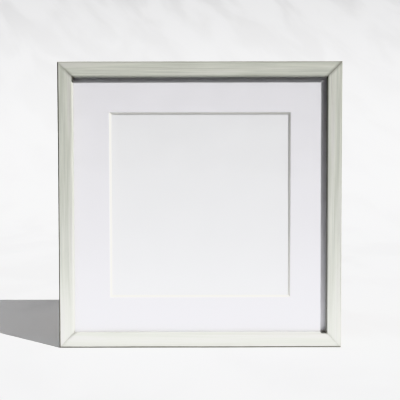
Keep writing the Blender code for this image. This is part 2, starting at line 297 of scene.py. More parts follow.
def whitewashed_wood():
    """Thin sage-white wash over straight grain, with a darker outer arris (partly wear, partly painted
    shade), painted shade inside the lip and painted light towards the bottom.

    It reads what dress_rail writes: "grain" is a place along, across and into the rail, "cool" goes from 0 at
    the box's top to 1 at its bottom and fades the grain and warm tint as painted light from below, "away" is
    the distance from the mitre, and the others are shares.
    """
    g = Graph("whitewashed_wood")
    grain = g.attribute("grain")
    cool = g.attribute("cool", "Fac")
    broad = g.noise(g.stretched(grain, 0.16, 0.0075, 0.0075), 2, 0.5)
    streak = g.noise(g.stretched(grain, 0.075, 0.0014, 0.0014), 3, 0.55, 0.15)
    fine = g.noise(g.stretched(grain, 0.030, 0.00040, 0.00040), 3, 0.6)
    pores = g.span(g.noise(g.stretched(grain, 0.009, 0.00022, 0.00022), 2, 0.5), 0.63, 0.72)
    lines = g.span(g.noise(g.stretched(grain, 0.11, 0.0010, 0.0010), 2, 0.5, 0.1), 0.58, 0.71)

    tone = g.math("ADD", g.math("MULTIPLY", broad, 0.45), g.math("MULTIPLY", streak, 0.55))
    # Painted light from below: towards the box's bottom the wash's grain contrast, dark lines and warm tint
    # fade.
    softer = g.span(cool, 0.3, 1.0, 0.0, 0.10)
    low, high = g.math("SUBTRACT", 0.36, softer), g.math("ADD", 0.64, softer)
    wash = g.mix(g.span(tone, low, high), (0.440, 0.455, 0.398), (0.574, 0.583, 0.524))
    wash = g.mix(g.span(broad, 0.50, 0.72), wash, (0.526, 0.524, 0.490))
    wash = g.mix(g.math("MULTIPLY", g.span(fine, 0.40, 0.75), 0.22), wash, (0.66, 0.67, 0.625))
    wash = g.mix(g.math("MULTIPLY", pores, 0.28), wash, (0.26, 0.25, 0.20))
    lines = g.math("MULTIPLY", lines, g.span(cool, 0.0, 1.0, 0.52, 0.10))
    wash = g.mix(lines, wash, (0.33, 0.335, 0.27))
    wash = g.mix(cool, wash, (0.985, 0.975, 1.02), "MULTIPLY")

    section = g.node("SeparateXYZ", g.place()).outputs
    wavy = g.math("MULTIPLY", g.math("SUBTRACT", streak, 0.5), 1.1 * MM)
    across = g.math("ADD", section["X"], wavy)
    in_front = g.span(section["Y"], 4.0 * MM, 2.0 * MM)
    # Outer arris darkened, partly as wear and partly as painted shade, strongest on the shaded left and
    # bottom rails.
    worn = g.math("MULTIPLY", g.span(across, 1.9 * MM, 1.2 * MM), in_front)
    wash = g.mix(g.math("MULTIPLY", worn, g.attribute("worn", "Fac")), wash, (0.13, 0.125, 0.105))
    # A thin darker line along the inner crest, set per rail.
    crest = g.math("ABSOLUTE", g.math("SUBTRACT", across, FACE - 1.8 * MM))
    crest = g.math("MULTIPLY", g.span(crest, 0.75 * MM, 0.15 * MM), g.span(broad, 0.35, 0.60, 0.2, 1.0))
    wash = g.mix(g.math("MULTIPLY", crest, g.attribute("crest", "Fac")), wash, (0.22, 0.21, 0.175))
    # Painted shade: the lip's inner edge is darkened on the right rail, where it stands in shade.
    lip = g.span(section["X"], FACE - 2.3 * MM, FACE - 0.8 * MM)
    wash = g.mix(g.math("MULTIPLY", lip, g.attribute("sooty", "Fac")), wash, (0.10, 0.098, 0.090))
    # Painted shadow: a near-black patch on the lip at two corners, where the other rail shades it.
    blot = g.span(section["X"], FACE - 1.9 * MM, FACE - 0.9 * MM)
    blot = g.math("MULTIPLY", g.attribute("blot", "Fac"), blot)
    near_corner = g.span(g.attribute("away", "Fac"), CORNER_SHADOW_LENGTH, CORNER_SHADOW_LENGTH - 0.6 * MM)
    blot = g.math("MULTIPLY", blot, near_corner)
    wash = g.mix(g.math("MULTIPLY", blot, 0.93), wash, (0.02, 0.02, 0.018))
    dirt = g.math("MULTIPLY", g.attribute("joint", "Fac"), 0.95)
    wash = g.mix(dirt, wash, (0.10, 0.095, 0.075))

    raised = g.math("ADD", g.math("MULTIPLY", fine, 0.6), g.math("MULTIPLY", streak, 0.8))
    return g.finish(
        colour=wash,
        roughness=g.span(fine, 0.3, 0.7, 0.50, 0.66),
        specular=0.4,
        normal=g.bump(g.math("SUBTRACT", raised, pores), 0.00006, 0.55),
    )


def bare_wood():
    """The unfinished back and rebate: pale straight-grained wood, with wash that strayed over the edges."""
    g = Graph("bare_wood")
    grain = g.attribute("grain")
    broad = g.noise(g.stretched(grain, 0.22, 0.0060, 0.0060), 2, 0.5)
    streak = g.noise(g.stretched(grain, 0.09, 0.0011, 0.0011), 4, 0.6, 0.2)
    fine = g.noise(g.stretched(grain, 0.012, 0.00030, 0.00030), 3, 0.6)
    tone = g.math("ADD", g.math("MULTIPLY", broad, 0.4), g.math("MULTIPLY", streak, 0.6))
    colour = g.mix(g.span(tone, 0.34, 0.66), (0.42, 0.29, 0.17), (0.62, 0.48, 0.33))
    colour = g.mix(g.math("MULTIPLY", g.span(fine, 0.55, 0.75), 0.35), colour, (0.30, 0.20, 0.12))
    strayed = g.math("MULTIPLY", g.attribute("edge", "Fac"), g.span(streak, 0.40, 0.60, 0.1, 0.9))
    colour = g.mix(strayed, colour, (0.56, 0.57, 0.51))
    colour = g.mix(g.math("MULTIPLY", g.attribute("joint", "Fac"), 0.6), colour, (0.10, 0.07, 0.05))
    return g.finish(
        colour=colour,
        roughness=g.span(fine, 0.3, 0.7, 0.66, 0.82),
        specular=0.3,
        normal=g.bump(g.math("ADD", fine, streak), 0.00009, 0.7),
    )


def paper(name, colour, shade, roughness=0.85, tooth=0.00003):
    """Matte board paper: faint clouds, short fibres and a fine tooth."""
    g = Graph(name)
    place = g.place()
    clouds = g.noise(g.stretched(place, 0.035, 0.035, 0.028), 3, 0.5)
    fibres = g.noise(g.stretched(place, 0.0018, 0.0006, 0.0005), 4, 0.65, 0.6)
    grainy = g.noise(g.stretched(place, 0.00022, 0.00022, 0.00022), 2, 0.5)
    toned = g.mix(g.span(clouds, 0.30, 0.70), shade, colour)
    fibre_colour = tuple(0.86 * c for c in shade)
    toned = g.mix(g.math("MULTIPLY", g.span(fibres, 0.55, 0.80), 0.10), toned, fibre_colour)
    height = g.math("ADD", g.math("MULTIPLY", fibres, 0.5), g.math("MULTIPLY", grainy, 0.7))
    return g.finish(
        colour=toned,
        roughness=g.span(grainy, 0.3, 0.7, roughness - 0.05, roughness + 0.05),
        specular=0.25,
        normal=g.bump(height, tooth, 0.6),
    )


def core(name, colour, shade, cell):
    """The cut edge of a board: soft layers or foam cells."""
    g = Graph(name)
    place = g.place()
    layers = g.noise(g.stretched(place, 0.012, 0.00035, 0.012), 3, 0.6)
    cells = g.noise(g.stretched(place, cell, cell, cell), 3, 0.6)
    tone = g.math("ADD", g.math("MULTIPLY", layers, 0.4), g.math("MULTIPLY", cells, 0.6))
    toned = g.mix(g.span(tone, 0.35, 0.65), shade, colour)
    return g.finish(
        colour=toned,
        roughness=g.span(cells, 0.3, 0.7, 0.82, 0.93),
        specular=0.2,
        normal=g.bump(cells, 0.00005, 0.6),
    )


def clear_glass():
    """Thin picture glass. Its low alpha lets the sun through and keeps a weak gloss."""
    g = Graph("clear_glass")
    ripple = g.noise(g.stretched(g.place(), 0.05, 0.05, 0.08), 2, 0.5)
    smear = g.noise(g.stretched(g.place(), 0.020, 0.02, 0.012), 4, 0.6, 0.4)
    g.material.surface_render_method = "BLENDED"
    return g.finish(
        colour=g.mix(smear, (0.93, 0.96, 0.95), (0.97, 0.98, 0.98)),
        roughness=g.span(smear, 0.35, 0.75, 0.015, 0.05),
        alpha=0.06,
        normal=g.bump(ripple, 0.00002, 0.2),
    )


def glass_edge():
    """The ground edge of the pane: greenish and matte."""
    g = Graph("glass_edge")
    ground = g.noise(g.stretched(g.place(), 0.0009, 0.0003, 0.0009), 3, 0.6)
    return g.finish(
        colour=g.mix(ground, (0.24, 0.42, 0.36), (0.40, 0.58, 0.52)),
        roughness=g.span(ground, 0.3, 0.7, 0.35, 0.55),
        normal=g.bump(ground, 0.00004, 0.6),
    )


def hardboard():
    """Pressed brown fibreboard, smooth outside, rubbed a little where the buttons swing."""
    g = Graph("hardboard")
    place = g.place()
    clouds = g.noise(g.stretched(place, 0.012, 0.012, 0.016), 4, 0.65, 0.5)
    fibres = g.noise(g.stretched(place, 0.0022, 0.0010, 0.0007), 5, 0.7, 1.2)
    specks = g.span(g.noise(g.stretched(place, 0.0007, 0.0007, 0.0011), 2, 0.5, 0.8), 0.64, 0.72)
    colour = g.mix(g.span(clouds, 0.30, 0.70), (0.178, 0.100, 0.052), (0.212, 0.122, 0.065))
    colour = g.mix(g.math("MULTIPLY", g.span(fibres, 0.42, 0.72), 0.45), colour, (0.33, 0.205, 0.115))
    colour = g.mix(g.math("MULTIPLY", specks, 0.55), colour, (0.055, 0.030, 0.018))
    rub = g.math("MULTIPLY", g.attribute("rub", "Fac"), g.span(fibres, 0.30, 0.60, 0.2, 0.8))
    colour = g.mix(g.math("MULTIPLY", rub, 0.5), colour, (0.36, 0.26, 0.17))
    height = g.math("SUBTRACT", fibres, g.math("MULTIPLY", specks, 0.5))
    return g.finish(
        colour=colour,
        roughness=g.math("SUBTRACT", g.span(fibres, 0.3, 0.7, 0.48, 0.66), g.math("MULTIPLY", rub, 0.12)),
        specular=0.4,
        normal=g.bump(height, 0.00008, 0.5),
    )


def zinc(name="zinc_steel", colour=(0.62, 0.63, 0.64), dull=(0.45, 0.455, 0.455)):
    """Bright zinc plate over brushed steel, clouded, with yellowish patches and pits."""
    g = Graph(name)
    place = g.place()
    clouds = g.noise(g.stretched(place, 0.0035, 0.0035, 0.0035), 4, 0.6, 0.5)
    brushed = g.noise(g.stretched(place, 0.0060, 0.00012, 0.00012), 3, 0.6)
    pits = g.span(g.noise(g.stretched(place, 0.00030, 0.00030, 0.00030), 2, 0.5), 0.66, 0.74)
    tone = g.mix(g.span(clouds, 0.30, 0.70), dull, colour)
    tone = g.mix(g.math("MULTIPLY", g.span(clouds, 0.58, 0.75), 0.35), tone, (0.66, 0.62, 0.50))
    tone = g.mix(g.math("MULTIPLY", pits, 0.5), tone, (0.22, 0.21, 0.20))
    height = g.math("SUBTRACT", g.math("MULTIPLY", brushed, 0.5), pits)
    return g.finish(
        colour=tone,
        metallic=1.0,
        roughness=g.span(brushed, 0.25, 0.75, 0.24, 0.44),
        normal=g.bump(height, 0.00003, 0.45),
    )


def stage_paper():
    """Seamless white background paper with soft slanting clouds, and painted shade that darkens it as it
    rises.
    """
    g = Graph("stage_paper")
    place = g.place()
    clouds = g.noise(g.stretched(place, 0.30, 0.30, 0.11, 0.8), 3, 0.5, 0.4)
    tooth = g.noise(g.stretched(place, 0.004, 0.004, 0.004), 3, 0.6)
    tone = g.mix(g.span(clouds, 0.36, 0.60), (0.870, 0.873, 0.880), (0.985, 0.990, 0.998))
    # Painted shade: the paper's tone darkens with height towards 0.56 of itself.
    height = g.node("SeparateXYZ", place).outputs["Z"]
    tone = g.mix(g.span(height, 0.02, 1.0), tone, (0.56, 0.56, 0.562), "MULTIPLY")
    return g.finish(
        colour=tone,
        roughness=g.span(tooth, 0.3, 0.7, 0.90, 0.98),
        specular=0.1,
        normal=g.bump(tooth, 0.0004, 0.15),
    )


# ---------------------------------------------------------------- mesh tools


def axes(x, z, place):
    """The matrix whose local X and Z run along the given directions, at the given place."""
    turned = Matrix((x, z.cross(x), z)).transposed().to_4x4()
    return Matrix.Translation(place) @ turned


def outer_edge(side, y):
    """The middle of a side's outer edge, at the given depth."""
    half = WIDTH / 2 if side in ("left", "right") else HEIGHT / 2
    return Vector((0, y, MIDDLE_Z)) - INWARD[side] * half


def arc(centre, radius, start, end, steps):
    """Points along a circle's arc, in degrees, both ends included."""
    turns = [math.radians(start + (end - start) * i / steps) for i in range(steps + 1)]
    return [(centre[0] + radius * math.cos(t), centre[1] + radius * math.sin(t)) for t in turns]


def mesh_of(name, bm, sharp=35):
    bmesh.ops.recalc_face_normals(bm, faces=bm.faces)
    mesh = bpy.data.meshes.new(name)
    bm.to_mesh(mesh)
    bm.free()
    mesh.shade_smooth()
    mesh.set_sharp_from_angle(angle=math.radians(sharp))
    return mesh


def loft(rings, closed=False):
    """A closed body through rings of equally many points: capped at both ends, or joined end to start."""
    bm = bmesh.new()
    made = [[bm.verts.new(p) for p in ring] for ring in rings]
    pairs = list(zip(made, made[1:])) + ([(made[-1], made[0])] if closed else [])
    count = len(made[0])
    for first, second in pairs:
        for i in range(count):
            j = (i + 1) % count
            bm.faces.new((first[i], first[j], second[j], second[i]))
    if not closed:
        bm.faces.new(made[0])
        bm.faces.new(made[-1])
    return bm


def place_object(name, mesh, matrix, *materials):
    obj = bpy.data.objects.new(name, mesh)
    obj.matrix_world = matrix
    bpy.context.scene.collection.objects.link(obj)
    for finish in materials:
        if finish.name not in mesh.materials:
            mesh.materials.append(finish)
    return obj


def stands_for(obj, node):
    """The piece replaces a CAD node, which it hides, and moves with its body."""
    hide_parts(node)
    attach(obj, frame["nodes"][node]["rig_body"])
    return obj


def spline_mesh(name, outlines, thickness, edge):
    """A flat plate from outlines (the first is the outside, the others are holes) with rounded edges."""
    curve = bpy.data.curves.new(name, "CURVE")
    curve.dimensions = "2D"
    curve.fill_mode = "BOTH"
    curve.extrude = thickness / 2 - edge
    curve.bevel_depth = edge
    curve.bevel_resolution = 2
    curve.offset = -edge
    for points in outlines:
        spline = curve.splines.new("POLY")
        spline.points.add(len(points) - 1)
        for target, point in zip(spline.points, points):
            target.co = (*point, 0.0, 1.0)
        spline.use_cyclic_u = True
    return mesh_of_curve(name, curve)


def mesh_of_curve(name, curve):
    """The curve's mesh, welded, with its faces pointing out."""
    holder = bpy.data.objects.new(name, curve)
    bpy.context.scene.collection.objects.link(holder)
    bpy.context.view_layer.update()
    mesh = bpy.data.meshes.new_from_object(holder.evaluated_get(bpy.context.evaluated_depsgraph_get()))
    bpy.data.objects.remove(holder)
    bm = bmesh.new()
    bm.from_mesh(mesh)
    bmesh.ops.remove_doubles(bm, verts=bm.verts, dist=0.000001)
    made = mesh_of(name, bm)
    made.materials.clear()
    return made


def cut(obj, cutters):
    """Cuts the cutters' space out of the object for good, and removes them."""
    for cutter in cutters:
        modifier = obj.modifiers.new("cut", "BOOLEAN")
        modifier.operation = "DIFFERENCE"
        modifier.solver = "EXACT"
        modifier.object = cutter
    bpy.context.view_layer.update()
    made = bpy.data.meshes.new_from_object(obj.evaluated_get(bpy.context.evaluated_depsgraph_get()))
    obj.modifiers.clear()
    obj.data = made
    for cutter in cutters:
        bpy.data.objects.remove(cutter)
    return obj


def rod(radius, low, high, matrix, steps=32):
    """A round cutter along local Z of the matrix."""
    turns = [2 * math.pi * i / steps for i in range(steps)]
    rings = [[(radius * math.cos(t), radius * math.sin(t), z) for t in turns] for z in (low, high)]
    return place_object("rod", mesh_of("rod", loft(rings)), matrix)


def set_attribute(mesh, name, kind, values):
    attribute = mesh.attributes.new(name, kind, "POINT")
    flat = [c for value in values for c in value] if kind == "FLOAT_VECTOR" else list(values)
    attribute.data.foreach_set("vector" if kind == "FLOAT_VECTOR" else "value", flat)


# ---------------------------------------------------------------- rails


def moulding_outline():
    """The rail's section: X from the outer side inwards, Y from the front face back."""
    outer, inner = OUTER_ROUND, INNER_ROUND
    back_arris = DEPTH - ARRIS
    points = arc((outer, outer), outer, 180, 270, ROUND_STEPS)
    points += [(outer + FLAT_MARGIN, 0), (FACE / 2, 0), (FACE - inner - FLAT_MARGIN, 0)]
    points += arc((FACE - inner, inner), inner, 270, 360, ROUND_STEPS)
    points += [(FACE, LIP - LIP_CHAMFER), (FACE - LIP_CHAMFER, LIP)]
    points += [(RIM + REBATE_CHAMFER, LIP), (RIM, LIP + REBATE_CHAMFER)]
    points += [(RIM, DEPTH / 2), (RIM, back_arris - ARRIS)]
    points += arc((RIM - ARRIS, back_arris), ARRIS, 0, 90, ARRIS_STEPS)
    points += [(RIM - ARRIS - FLAT_MARGIN, DEPTH), (RIM / 2, DEPTH), (ARRIS + FLAT_MARGIN, DEPTH)]
    points += arc((ARRIS, back_arris), ARRIS, 90, 180, ARRIS_STEPS)
    points += [(0, back_arris - FLAT_MARGIN), (0, DEPTH / 2), (0, outer + FLAT_MARGIN)]
    return [Vector(p) for p in points]


def inward_normals(points):
    """At each point of a section, the direction into the wood."""
    found = []
    for before, after in zip(points[-1:] + points[:-1], points[1:] + points[:1]):
        run = (after - before).normalized()
        found.append(Vector((-run.y, run.x)))
    middle = Vector((RIM / 2, DEPTH / 2))
    if sum((middle - p).dot(n) for p, n in zip(points, found)) < 0:
        found = [-n for n in found]
    return found


def edge_share(x, y):
    """1 on the rounded and sharp edges of the section, 0 on its flats."""
    corners = ((0, 0), (FACE, 0), (0, DEPTH), (RIM, DEPTH), (FACE, LIP))
    near = min(math.hypot(x - cx, y - cy) for cx, cy in corners)
    return max(0.0, min(1.0, (EDGE_REACH - near) / EDGE_FADE))


def mitre_gap(corner, x):
    """How far a rail's end stands back from the mitre's plane, at a distance from its outer side."""
    outer, inner = MITRES[corner]
    return outer + (inner - outer) * x / FACE


# The corners at the low and high end of each rail's length.
RAIL_ENDS = {
    "top": ("top_left", "top_right"),
    "bottom": ("bottom_right", "bottom_left"),
    "left": ("bottom_left", "top_left"),
    "right": ("top_right", "bottom_right"),
}


def rail(side, number, wood, raw):
    """One mitred length. Its local X runs inwards, Y back, and Z along it."""
    inward = INWARD[side]
    along = inward.cross(BACKWARD)
    length = HEIGHT if side in ("left", "right") else WIDTH
    points = moulding_outline()
    normals = inward_normals(points)
    low_corner, high_corner = RAIL_ENDS[side]
    count = round(length / RAIL_STEP)
    shares = [i / count for i in range(count + 1)]

    def station(share, x, chamfer):
        half = length / 2 - x
        low = -half + mitre_gap(low_corner, x) + chamfer
        high = half - mitre_gap(high_corner, x) - chamfer
        return low + (high - low) * share

    rings = []
    for index, share in enumerate([0.0, *shares, 1.0]):
        at_end = index in (0, count + 2)
        ring = []
        for point, normal in zip(points, normals):
            sunk = JOINT_CHAMFER if at_end else 0.0
            if not at_end:
                z = station(share, point.x, JOINT_CHAMFER)
                fade = min(1.0, WEAR_FADE * min(share, 1 - share))
                across = point * EDGE_WEAR_ACROSS
                worn = noise.noise(Vector((z * EDGE_WEAR_ALONG + 7 * number, across.x, across.y)))
                across = point * RIPPLE_ACROSS
                ripple = noise.noise(Vector((z * RIPPLE_ALONG - 5 * number, across.x, across.y)))
                edge = edge_share(point.x, point.y)
                sunk = fade * (edge * EDGE_WEAR * (0.5 + worn) + RIPPLE * (ripple + 1))
            spot = point + normal * sunk
            ring.append((spot.x, spot.y, station(share, point.x, 0.0 if at_end else JOINT_CHAMFER)))
        rings.append(ring)
    mesh = mesh_of("moulding_" + side, loft(rings), 30)
    turned = Matrix((inward, BACKWARD, along)).transposed().to_4x4()
    matrix = Matrix.Translation(outer_edge(side, FRONT_Y)) @ turned
    return place_object(mesh.name, mesh, matrix, wood, raw)


def dress_rail(obj, side, number):
    """Marks the bare faces, and writes what the rail's materials read at each vertex."""
    mesh = obj.data
    for face in mesh.polygons:
        x, y, _ = face.center
        behind = y > DEPTH - ARRIS * 0.6
        inside = y > LIP - 0.05 * MM and x > RIM * 0.5
        face.material_index = 1 if behind or inside else 0
    half = (HEIGHT if side in ("left", "right") else WIDTH) / 2
    low_corner, high_corner = RAIL_ENDS[side]
    written = {name: [] for name in ("edge", "joint", "away", "blot", "cool")}
    grain = []
    for vertex in mesh.vertices:
        x, y, z = vertex.co
        corner = high_corner if z > 0 else low_corner
        near = half - x - abs(z)
        gap = mitre_gap(corner, max(0.0, min(FACE, x)))
        dirty = min(1.0, gap / FULL_DIRT_GAP) ** DIRT_POWER
        grain.append((z + 1.3 * number, x + 0.21 * number, y - 0.17 * number))
        written["edge"].append(edge_share(x, y))
        written["joint"].append(dirty * max(0.0, min(1.0, (JOINT_DIRT - near) / JOINT_DIRT)))
        written["away"].append(near)
        # Marks the rail ends that carry a painted corner shadow.
        written["blot"].append(1.0 if (side, corner) in PAINTED_CORNER_SHADOWS else 0.0)
        # Painted light from below: 0 at the box's top, 1 at its bottom.
        written["cool"].append(1 - (obj.matrix_world @ vertex.co).z / HEIGHT)
    set_attribute(mesh, "grain", "FLOAT_VECTOR", grain)
    # Per-rail shares of the darkened arris, the crest line and the lip's painted shade.
    for name, share in zip(("worn", "crest", "sooty"), WEAR_AND_PAINTED_SHADE[side]):
        written[name] = [share] * len(mesh.vertices)
    for name, values in written.items():
        set_attribute(mesh, name, "FLOAT", values)


# ---------------------------------------------------------------- sheets


def board(name, node, edge, *materials):
    """A sheet over a CAD node's box with rounded edges. Its second material, if any, is on its cut edges."""
    low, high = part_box(node)
    size = high - low
    bm = bmesh.new()
    bmesh.ops.create_cube(bm, size=1.0, matrix=Matrix.Diagonal((*size, 1.0)))
    bmesh.ops.bevel(
        bm,
        geom=[*bm.verts, *bm.edges],
        offset=edge,
        segments=3,
        profile=0.5,
        affect="EDGES",
        clamp_overlap=True,
    )
    mesh = mesh_of(name, bm, 10)
    thin = min(range(3), key=lambda axis: size[axis])
    obj = place_object(name, mesh, Matrix.Translation((low + high) / 2), *materials)
    if len(materials) > 1:
        for face in mesh.polygons:
            face.material_index = 0 if abs(face.normal[thin]) > 0.9 else 1
    return stands_for(obj, node)


def window_mat(face_paper, core_board, back_paper):
    """The mat: face paper over a thick core, with a window whose edges are cut at 45 degrees."""
    low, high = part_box("mat_board")
    thick = high.y - low.y
    outer_x, outer_z = high.x, high.z - MIDDLE_Z
    front = [v.co for v in frame["nodes"]["mat_board"].data.vertices if v.co.y < low.y + thick * 0.1]
    half_x = max(abs(v.x) for v in front if abs(v.x) < outer_x - MAT_BORDER)
    half_z = max(abs(v.z - MIDDLE_Z) for v in front if abs(v.z - MIDDLE_Z) < outer_z - MAT_BORDER)
    skin = 0.16 * MM
    soft = 0.05 * MM
    outer_corner = 0.3 * MM
    inner_corner = 0.1 * MM

    def ring(x, z, y, corner):
        """A rectangle with small round corners, as equally many points each time."""
        points = []
        for sx, sz, start in ((1, 1, 0), (-1, 1, 90), (-1, -1, 180), (1, -1, 270)):
            points += arc((sx * (x - corner), sz * (z - corner)), corner, start, start + 90, 3)
        return [(px, y, pz) for px, pz in points]

    profile = [
        (outer_x - soft, outer_z - soft, 0.0, outer_corner),
        (outer_x, outer_z, soft, outer_corner),
        (outer_x, outer_z, thick - soft, outer_corner),
        (outer_x - soft, outer_z - soft, thick, outer_corner),
        (half_x - thick, half_z - thick, thick, inner_corner),
        (half_x - skin, half_z - skin, skin, inner_corner),
        (half_x - soft, half_z - soft, 0.6 * soft, inner_corner),
        (half_x + soft, half_z + soft, 0.0, inner_corner),
    ]
    rings = [ring(x, z, y, corner) for x, z, y, corner in profile]
    obj = place_object(
        "window_mat",
        mesh_of("window_mat", loft(rings, closed=True), 10),
        Matrix.Translation((0, low.y, MIDDLE_Z)),
        face_paper,
        core_board,
        back_paper,
    )
    for face in obj.data.polygons:
        x, y, z = face.center
        if y > thick - 0.01 * MM:
            face.material_index = 2
        elif y > skin * 0.6:
            face.material_index = 1
    return stands_for(obj, "mat_board")


def back_board(finish):
    """The hardboard panel, with fine squares so that it can carry the marks of the buttons."""
    low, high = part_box("back_panel")
    obj = board("hardboard_back", "back_panel", 0.25 * MM, finish)
    bm = bmesh.new()
    bm.from_mesh(obj.data)
    for axis, size in ((0, high.x - low.x), (2, high.z - low.z)):
        normal = [0, 0, 0]
        normal[axis] = 1
        for i in range(1, round(size / BACK_SQUARE)):
            spot = [0, 0, 0]
            spot[axis] = -size / 2 + BACK_SQUARE * i
            everything = [*bm.verts, *bm.edges, *bm.faces]
            bmesh.ops.bisect_plane(bm, geom=everything, plane_co=spot, plane_no=normal)
    bm.to_mesh(obj.data)
    bm.free()
    boxes = [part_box(node) for node in frame["nodes"] if node.startswith("button_screw")]
    pivots = [tuple((low + high) / 2) for low, high in boxes]
    marks = []
    for vertex in obj.data.vertices:
        x, z = vertex.co.x, vertex.co.z + MIDDLE_Z
        near = min(math.hypot(x - px, z - pz) for px, _, pz in pivots)
        marks.append(max(0.0, 1.0 - abs(near - RUB_RADIUS) / RUB_WIDTH))
    set_attribute(obj.data, "rub", "FLOAT", marks)
    return obj


# ---------------------------------------------------------------- hardware


def recess_cutter():
    """A cross-shaped cutter whose arms narrow as they go down. Its wide end is at local Z = 0."""

    def cross(arm, width, z):
        half = width / 2
        corner = [(arm, -half), (arm, half), (half, half)]
        turns = [Matrix.Rotation(math.radians(90 * i), 2) for i in range(4)]
        return [(*(turn @ Vector(p)), z) for turn in turns for p in corner]

    top = cross(1.95 * MM, 0.75 * MM, 0.3 * MM)
    middle = cross(1.1 * MM, 0.50 * MM, -0.75 * MM)
    bottom = cross(0.5 * MM, 0.34 * MM, -1.15 * MM)
    bm = loft([top, middle, bottom])
    bmesh.ops.triangulate(bm, faces=bm.faces)
    return mesh_of("recess", bm)


def screw_mesh(finish):
    """A pan-head screw with a cross recess and a thread. Local Z = 0 is the head's underside."""
    steps = 40
    turns = [2 * math.pi * i / steps for i in range(steps)]
    rise = HEAD_HEIGHT - HEAD_EDGE
    slopes = [math.radians(a) for a in range(84, -1, -7)]
    profile = [(HEAD_RADIUS * math.cos(t), HEAD_EDGE + rise * math.sin(t)) for t in slopes]
    profile += [(HEAD_RADIUS, 0.25 * MM), (HEAD_RADIUS - 0.12 * MM, 0.05 * MM), (HEAD_RADIUS - 0.3 * MM, 0.0)]
    profile += [(SHANK_RADIUS + 0.1 * MM, 0.0), (SHANK_RADIUS, -0.1 * MM), (SHANK_RADIUS, THREAD_START)]
    rings = [[(r * math.cos(t), r * math.sin(t), z) for t in turns] for r, z in profile]
    z = THREAD_START
    while z > 0.35 * MM - SHANK_LENGTH:
        z -= THREAD_PITCH / THREAD_STEPS
        left = (z + SHANK_LENGTH) / POINT_LENGTH
        body = (SHANK_RADIUS - THREAD_HEIGHT * 0.9) * min(1.0, max(0.12, left))
        start = min(1.0, (THREAD_START - z) / THREAD_PITCH)
        crest = THREAD_HEIGHT * 0.9 * min(1.0, 0.25 + left)
        ring = []
        for t in turns:
            phase = (z / THREAD_PITCH - t / (2 * math.pi)) % 1.0
            ridge = max(0.0, 1 - abs(phase - 0.5) * 3.2) * crest
            radius = body * start + SHANK_RADIUS * (1 - start) + ridge * start
            ring.append((radius * math.cos(t), radius * math.sin(t), z))
        rings.append(ring)
    obj = place_object("screw", mesh_of("screw", loft(rings), 40), Matrix.Identity(4), finish)
    recess = place_object("recess", recess_cutter(), Matrix.Translation((0, 0, HEAD_HEIGHT)))
    cut(obj, [recess])
    mesh = obj.data
    mesh.shade_smooth()
    mesh.set_sharp_from_angle(angle=math.radians(35))
    bpy.data.objects.remove(obj)
    return mesh


def screw(node, name, mesh, turn):
    """A screw in place of a CAD node, its head flush with that node's and turned by some angle."""
    low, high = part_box(node)
    middle = (low + high) / 2
    seat = Vector((middle.x, high.y - HEAD_HEIGHT, middle.z))
    matrix = axes(SIDEWAYS, BACKWARD, seat) @ Matrix.Rotation(turn, 4, "Z")
    return stands_for(place_object(name, mesh, matrix), node)


def button_mesh(finish):
    """A tapered zinc button with rounded edges: the pivot's end at the origin, the tip along local X."""
    low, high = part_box("turn_button_top_left")
    thick = high.y - low.y
    lean = math.degrees(math.asin((PIVOT_RADIUS - TIP_RADIUS) / BUTTON_REACH))
    outline = arc((0, 0), PIVOT_RADIUS, 90 - lean, 270 + lean, 24)
    outline += arc((BUTTON_REACH, 0), TIP_RADIUS, lean - 90, 90 - lean, 24)
    hole = arc((0, 0), SHANK_RADIUS + HOLE_PLAY, 360, 0, 28)[:-1]
    mesh = spline_mesh("button", [outline, hole], thick, BUTTON_EDGE)
    mesh.materials.append(finish)
    return mesh


def strap_path():
    """The strip's middle line from the side, with its half width: local X down, local Y out from the rim."""
    tail = SCREW_DROP + STRAP_TAIL
    radius = EYE_BORE + STEEL / 2
    lower = -radius
    upper = lower + STEEL
    bend = 0.9 * MM
    neck_y = upper + bend
    neck_x = math.sqrt((radius + bend) ** 2 - neck_y**2)
    lean = math.degrees(math.atan2(neck_y, neck_x))
    flat = [(tail * (1 - i / 24), lower) for i in range(25)]
    loop = arc((0, 0), radius, 270, lean, 40)[1:]
    neck = arc((neck_x, neck_y), bend, 180 + lean, 270, 8)[1:]
    last = tail - 0.5 * MM
    back = [(neck_x + (last - neck_x) * i / 18, upper) for i in range(1, 19)]
    return [Vector(p) for p in flat + loop + neck + back]


def strap_mesh():
    """The folded strap: a round-ended strip that runs from its tail round the eye and back over itself."""
    path = strap_path()
    half_thick = STEEL / 2 * 0.97
    lengths = [0.0]
    for before, after in zip(path, path[1:]):
        lengths.append(lengths[-1] + (after - before).length)
    rings = []
    for index, here in enumerate(path):
        before, after = path[max(index - 1, 0)], path[min(index + 1, len(path) - 1)]
        run = (after - before).normalized()
        out = Vector((-run.y, run.x))
        from_end = min(lengths[index], lengths[-1] - lengths[index])
        inside = max(0.02, min(1.0, from_end / STRAP_HALF))
        half = STRAP_HALF * math.sqrt(1 - (1 - inside) ** 2)
        edge = 0.12 * MM
        ring = []
        for side, level in ((-1, -1), (1, -1), (1, 1), (-1, 1)):
            insets = ((0, edge), (edge, 0)) if side * level > 0 else ((edge, 0), (0, edge))
            for inset_side, inset_level in insets:
                spot = here + out * level * (half_thick - inset_level)
                ring.append((spot.x, spot.y, side * max(half - inset_side, 0.05 * MM)))
        rings.append(ring)
    return mesh_of("strap", loft(rings), 40)


